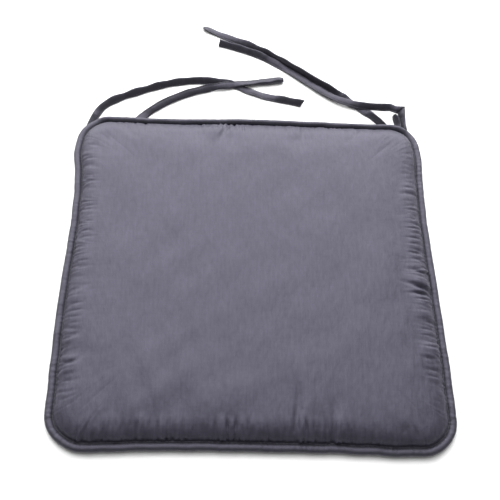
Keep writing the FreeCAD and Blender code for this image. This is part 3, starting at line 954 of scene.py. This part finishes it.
def swollen(roll, crown, spare, pressure):
    """How far each grid point moves in the simulation, capped at SIM_CAP."""
    perimeter, m = square_grid(SIM_CELLS)
    place, normal, from_seam, _ = cover_shape(perimeter, m, roll, crown)
    plan = place[..., :2]
    rough = 0.35 * puckers(perimeter, plan, from_seam) + 0.6 * creases(plan)
    start = place + normal * rough[..., None]
    mesh = bpy.data.meshes.new("trial_cover")
    mesh.from_pydata(start.reshape(-1, 3).tolist(), [], grid_faces(SIM_COUNT, SIM_COUNT).tolist())
    trial = bpy.data.objects.new("trial_cover", mesh)
    bpy.context.scene.collection.objects.link(trial)
    pinned = trial.vertex_groups.new(name="seam")
    pinned.add(np.flatnonzero(m.ravel() > 0.999).tolist(), 1.0, "REPLACE")
    trial.shape_key_add(name="Basis")
    larger = trial.shape_key_add(name="cut_size")
    larger.data.foreach_set("co", (place * (1 + spare)).reshape(-1))
    larger.value = 0
    cloth_way = trial.modifiers.new("Cloth", "CLOTH")
    settings = cloth_way.settings
    settings.quality = 6
    settings.mass = 0.15
    settings.tension_stiffness = settings.compression_stiffness = 12
    settings.shear_stiffness = 4
    settings.bending_stiffness = 0.05
    settings.tension_damping = settings.compression_damping = 8
    settings.air_damping = 4
    settings.vertex_group_mass = "seam"
    settings.rest_shape_key = larger
    settings.use_pressure = True
    settings.uniform_pressure_force = pressure
    settings.effector_weights.gravity = 0
    cloth_way.collision_settings.use_collision = False
    cloth_way.point_cache.frame_start = 1
    cloth_way.point_cache.frame_end = SIM_FRAMES
    for frame_number in range(1, SIM_FRAMES + 1):
        bpy.context.scene.frame_set(frame_number)
    result = trial.evaluated_get(bpy.context.evaluated_depsgraph_get()).to_mesh()
    moved = np.zeros(start.size)
    result.vertices.foreach_get("co", moved)
    moved = moved.reshape(start.shape) - start
    trial.evaluated_get(bpy.context.evaluated_depsgraph_get()).to_mesh_clear()
    bpy.data.objects.remove(trial)
    bpy.data.meshes.remove(mesh)
    bpy.context.scene.frame_set(1)
    size = np.linalg.norm(moved, axis=-1, keepdims=True)
    print("cloth moved at most", round(float(size.max()) / MM, 2), "mm")
    return moved * np.minimum(1, SIM_CAP / np.maximum(size, 1e-9))


def resampled(moves, perimeter, m):
    """The grid's moves at any perimeter number and m, by bilinear interpolation."""
    across, _, c, s = on_side(perimeter)
    x, y = m * (c - across * s), m * (s + across * c)
    i, j = (np.clip((v + 1) / 2 * SIM_CELLS, 0, SIM_CELLS - 1e-6) for v in (x, y))
    low_i, low_j = np.floor(i).astype(int), np.floor(j).astype(int)
    u, v = (i - low_i)[..., None], (j - low_j)[..., None]
    return ((1 - u) * (1 - v) * moves[low_i, low_j] + u * (1 - v) * moves[low_i + 1, low_j]
            + (1 - u) * v * moves[low_i, low_j + 1] + u * v * moves[low_i + 1, low_j + 1])


# %% [markdown]
# Detail is wanted near the seam, where the puckers are, and much less in the middle. So the cover is two
# grids: a fine band round the edge, and a square panel inside it with a quarter as many columns. Fans of
# triangles join them without a gap. The cloth has a thickness of its own, laid on inwards.

# %% The cover's mesh: a fine band round a coarser panel
BAND_COLUMNS = 4
PANEL_GAP = 0.006
CLOTH_THICKNESS = 0.7 * MM


def cover_points(perimeter, m, roll, crown, moves, depth):
    """The cover's place at (perimeter, m): its roll, moved along the normal by puckers, creases and hills,
    plus the simulation's moves."""
    place, normal, from_seam, cloth = cover_shape(perimeter, m, roll, crown)
    plan = place[..., :2]
    rough = puckers(perimeter, plan, from_seam, depth)
    if crown > 0:
        inwards = 1 - np.exp(-from_seam / (12 * MM))
        rough = rough + creases(plan) + slow_swell(plan) * inwards
    place = place + normal * rough[..., None] + resampled(moves, perimeter, m)
    return place, cloth


def make_cover(name, finish, roll, crown, moves, panel_cells, band_rows, depth=1.0, floor=None):
    """A band with BAND_COLUMNS to each edge of the square panel, joined by fans of five triangles."""
    columns = 4 * BAND_COLUMNS * panel_cells
    growth = np.linspace(0, 1, band_rows) ** 1.6
    band_m = (1 - growth * (1 - BAND_START))[:, None] + np.zeros(columns)
    band_p = np.zeros((band_rows, 1)) + np.arange(columns) * 4 / columns
    band, band_cloth = cover_points(band_p, band_m, roll, crown, moves, depth)
    panel_p, panel_m = square_grid(panel_cells)
    panel, panel_cloth = cover_points(panel_p, panel_m * (BAND_START - PANEL_GAP), roll, crown, moves, depth)
    points = np.concatenate([band.reshape(-1, 3), panel.reshape(-1, 3)])
    cloth = np.concatenate([band_cloth.reshape(-1, 2), panel_cloth.reshape(-1, 2)])
    if floor is not None:
        points[:, 2] = np.maximum(points[:, 2], floor)
    count, shift = panel_cells + 1, band_rows * columns
    run = np.arange(panel_cells)
    loop = shift + np.concatenate([
        panel_cells * count + run, (panel_cells - run) * count + panel_cells, panel_cells - run, run * count
    ])
    a, b = loop, np.roll(loop, -1)
    steps = np.arange(4 * panel_cells)[:, None] * BAND_COLUMNS + np.arange(BAND_COLUMNS + 1)
    r = ((band_rows - 1) * columns + steps % columns).T
    fans = np.concatenate([
        np.stack(corners, 1) for corners in
        ((a, r[0], r[1]), (a, r[1], r[2]), (a, r[2], b), (b, r[2], r[3]), (b, r[3], r[4]))
    ])
    up = np.sign(roll[1][-1] - roll[1][0])
    groups = []
    for index in (grid_faces(band_rows, columns, wrap_columns=True), grid_faces(count, count) + shift, fans):
        first, second, third = (points[index[:, k]] for k in range(3))
        if np.cross(second - first, third - first)[:, 2].sum() * up < 0:
            index = index[:, ::-1]
        groups.append((index, cloth[index]))
    made = make_piece(name, points, groups, finish, closed=False)
    shell = made.modifiers.new("thickness", "SOLIDIFY")
    shell.thickness = CLOTH_THICKNESS
    shell.offset = -1
    return made


top_moves = swollen(TOP_ROLL, TOP_CROWN, TOP_SPARE, TOP_PRESSURE)
top = make_cover("satin_top_cover", top_satin, TOP_ROLL, TOP_CROWN, top_moves, panel_cells=90, band_rows=28)
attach(top, "pad")
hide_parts("top_cover")
print("top cover faces", len(top.data.polygons))

# %% [markdown]
# The cover underneath is the same cloth, cut to the same square. The pad lies on it, so it is flat and only
# its edge rolls up to the seam. Its puckers may rise but never sink into the floor.

# %% The underside
base = make_cover("satin_base_cover", base_satin, BASE_ROLL, 0.0, STILL, panel_cells=48, band_rows=14,
                  depth=0.5, floor=0.02 * MM)
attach(base, "pad")
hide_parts("bottom_cover")
print("base cover faces", len(base.data.polygons))

# %% [markdown]
# ## The foam
# The sheet of foam between the covers is cut with a blade, so it has square edges, slightly pressed in where
# the covers are sewn. It is a stack of closed rings from the middle of its base to the middle of its top.

# %% Foam sheet
FOAM_INSET = 20 * MM
FOAM_LOW, FOAM_HIGH = 1.2 * MM, PAD_TOP - 4.4 * MM


def make_foam():
    """Rings of the rounded square: out along the base, up the side, in along the top; fans close the ends."""
    shrink = np.concatenate([np.linspace(0.05, 0.97, 12), np.ones(6), np.linspace(0.97, 0.05, 12)])
    rise = np.concatenate([np.zeros(12), np.linspace(0.12, 0.88, 6), np.ones(12)])
    perimeter = np.arange(240) * 4 / 240
    ring, outward = rounded_ring(perimeter, HALF_SIDE - FOAM_INSET, CORNER_RADIUS - FOAM_INSET)
    press = 1.6 * MM * np.sin(np.pi * rise) * (shrink > 0.99)
    rough = 0.15 * MM * loop_waves(perimeter * SIDE_LENGTH, 9, 71)
    rows, columns = len(shrink), len(perimeter)
    grid = np.zeros((rows, columns, 3))
    pushed = press[:, None] + rough * (shrink > 0.9)[:, None]
    grid[..., :2] = ring * shrink[:, None, None] + outward * pushed[..., None]
    grid[..., 2] = FOAM_LOW + (FOAM_HIGH - FOAM_LOW) * rise[:, None]
    points = np.concatenate([grid.reshape(-1, 3), [(0, 0, FOAM_LOW), (0, 0, FOAM_HIGH)]])
    faces = grid_faces(rows, columns, wrap_columns=True), end_fans(rows, columns)
    return make_piece("foam_sheet", points, [(f, points[f][..., :2]) for f in faces], foam_finish)


foam = make_foam()
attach(foam, "pad")
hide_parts("foam_core")
print("foam faces", len(foam.data.polygons))

# %% [markdown]
# ## The binding
# A strip of satin folded over the raw edges of both covers. Nothing fills it but the seam allowance, so it is
# a soft roll at the outside, and the row of stitches pulls it into a groove 8 mm from the edge. We carry one
# closed section round the edge. At each stitch the groove is pulled deeper, and between stitches it springs
# back, so the roll looks like a string of small cushions.

# %% Edge binding
# Distance in from the edge, height above the seam. The first half is the outside, the rest the inner face.
BINDING_SECTION = cut_corners(
    [
        (10.2, 0.5), (10.0, 1.1), (9.3, 1.15), (8.5, 0.7), (7.8, 1.05), (7.0, 1.85), (5.6, 2.65), (3.8, 2.95),
        (1.9, 2.7), (0.6, 1.6), (0.0, 0.0), (0.6, -1.7), (2.0, -2.5), (4.0, -2.5), (5.8, -1.9), (7.0, -1.2),
        (8.4, -0.85), (9.2, -1.1), (10.0, -1.05), (10.2, -0.45), (9.0, -0.3), (8.0, -0.25), (6.0, -0.7),
        (3.8, -1.6), (2.0, -1.2), (1.2, 0.0), (1.9, 1.2), (3.3, 1.75), (6.2, 0.9), (8.0, 0.2), (9.0, 0.3),
    ]
) * MM
SEAM_LEVEL = 5 * MM
GROOVE_INSET = 8.4 * MM
STITCH_COUNT = round(LOOP_LENGTH / STITCH_LENGTH)


def binding_lumps(perimeter):
    """How plump the roll is along the edge, about 1: slow lumps and two finer sorts."""
    place = perimeter * SIDE_LENGTH
    slow = 0.05 * loop_waves(place, 38, 81) + 0.025 * loop_waves(place, 14, 82)
    return 1 + slow + 0.02 * loop_waves(place, 6, 83)


def rear_roll(perimeter):
    """How far the tape is rolled forwards about its groove: not at all, except along the rear edge, where the
    ties and the hand that set them down have stood it up by about half a right angle."""
    place = perimeter * SIDE_LENGTH
    start, end = loop_place("rear", 186 * MM), loop_place("rear", -176 * MM)
    rolled = smoothstep(place, start - 14 * MM, start + 10 * MM)
    rolled = rolled * (1 - smoothstep(place, end - 12 * MM, end + 12 * MM))
    return np.radians(44 + 4 * loop_waves(place, 50, 86)) * rolled


def make_binding(steps):
    """For each section point and each step round: the edge point moved in by the inset, and the seam's level
    plus the height, both turned about the groove by rear_roll."""
    perimeter = np.arange(steps) * 4 / steps
    place = perimeter * SIDE_LENGTH
    inset, height = BINDING_SECTION[:, 0], BINDING_SECTION[:, 1]
    plump = binding_lumps(perimeter)[:, None]
    near_groove = np.exp(-((inset - GROOVE_INSET) / (1.3 * MM)) ** 2)
    pinch = 0.16 * MM * np.cos(2 * np.pi * STITCH_COUNT * perimeter / 4)[:, None] * near_groove
    pleats = 0.12 * MM * loop_waves(place, 5.5, 84)[:, None] * near_groove ** 0.3
    wide = 0.25 * MM * loop_waves(place, 26, 85)[:, None] * smoothstep(inset, 8.8 * MM, 10 * MM)
    outline, outward = edge_ring(perimeter, 0)
    grid = np.zeros((steps, len(inset), 3))
    up = height * plump + np.sign(height) * (pinch + pleats * (np.abs(height) > 0.6 * MM))
    out = GROOVE_INSET - (inset + wide)
    turn = rear_roll(perimeter)[:, None]
    turned_out = out * np.cos(turn) - up * np.sin(turn)
    grid[..., :2] = outline[:, None] + outward[:, None] * (turned_out - GROOVE_INSET)[..., None]
    grid[..., 2] = SEAM_LEVEL + up * np.cos(turn) + out * np.sin(turn)
    around = lengths_along(np.concatenate([BINDING_SECTION, BINDING_SECTION[:1]]))
    maps = np.append(place, LOOP_LENGTH), around
    return make_piece("binding_tape", grid, [grid_faces(steps, len(inset), maps, True, True)], tape_satin)


binding = make_binding(steps=1500)
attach(binding, "pad")
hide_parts("edge_binding")
print("binding faces", len(binding.data.polygons))


# %% [markdown]
# One line of lockstitch holds it all together: the needle's thread shows in the groove on top, the bobbin's
# underneath. Both threads sink into the tape at every hole, and no row of stitches is quite straight.

# %% Binding stitches
NEEDLE_HEIGHT, BOBBIN_HEIGHT = 1.16 * MM, -1.12 * MM


def binding_stitches(name, above, node):
    """A stitch in every pinch of the groove, on the upper or the under face of the binding."""
    perimeter = (np.arange(STITCH_COUNT) + 0.5) * 4 / STITCH_COUNT
    place, outward = edge_ring(perimeter, GROOVE_INSET)
    chance = np.random.default_rng(91 if above else 92)
    place = place + outward * chance.normal(0, 0.12 * MM, (STITCH_COUNT, 1))
    height = SEAM_LEVEL + (NEEDLE_HEIGHT if above else BOBBIN_HEIGHT) * binding_lumps(perimeter)
    at = np.concatenate([place, height[:, None]], 1)
    side = np.concatenate([outward, np.zeros((STITCH_COUNT, 1))], 1)
    up = np.zeros_like(side) + (0, 0, 1.0)
    ahead = np.cross(up, side)
    row = stitch_row(name, at, ahead, side, up, EDGE_STITCH)
    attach(row, "pad")
    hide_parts(node)
    return row


needle = binding_stitches("binding_needle_stitches", True, "binding_needle_thread")
bobbin = binding_stitches("binding_bobbin_stitches", False, "binding_bobbin_thread")
print("stitches", STITCH_COUNT, "triangles", 2 * len(needle.data.polygons))
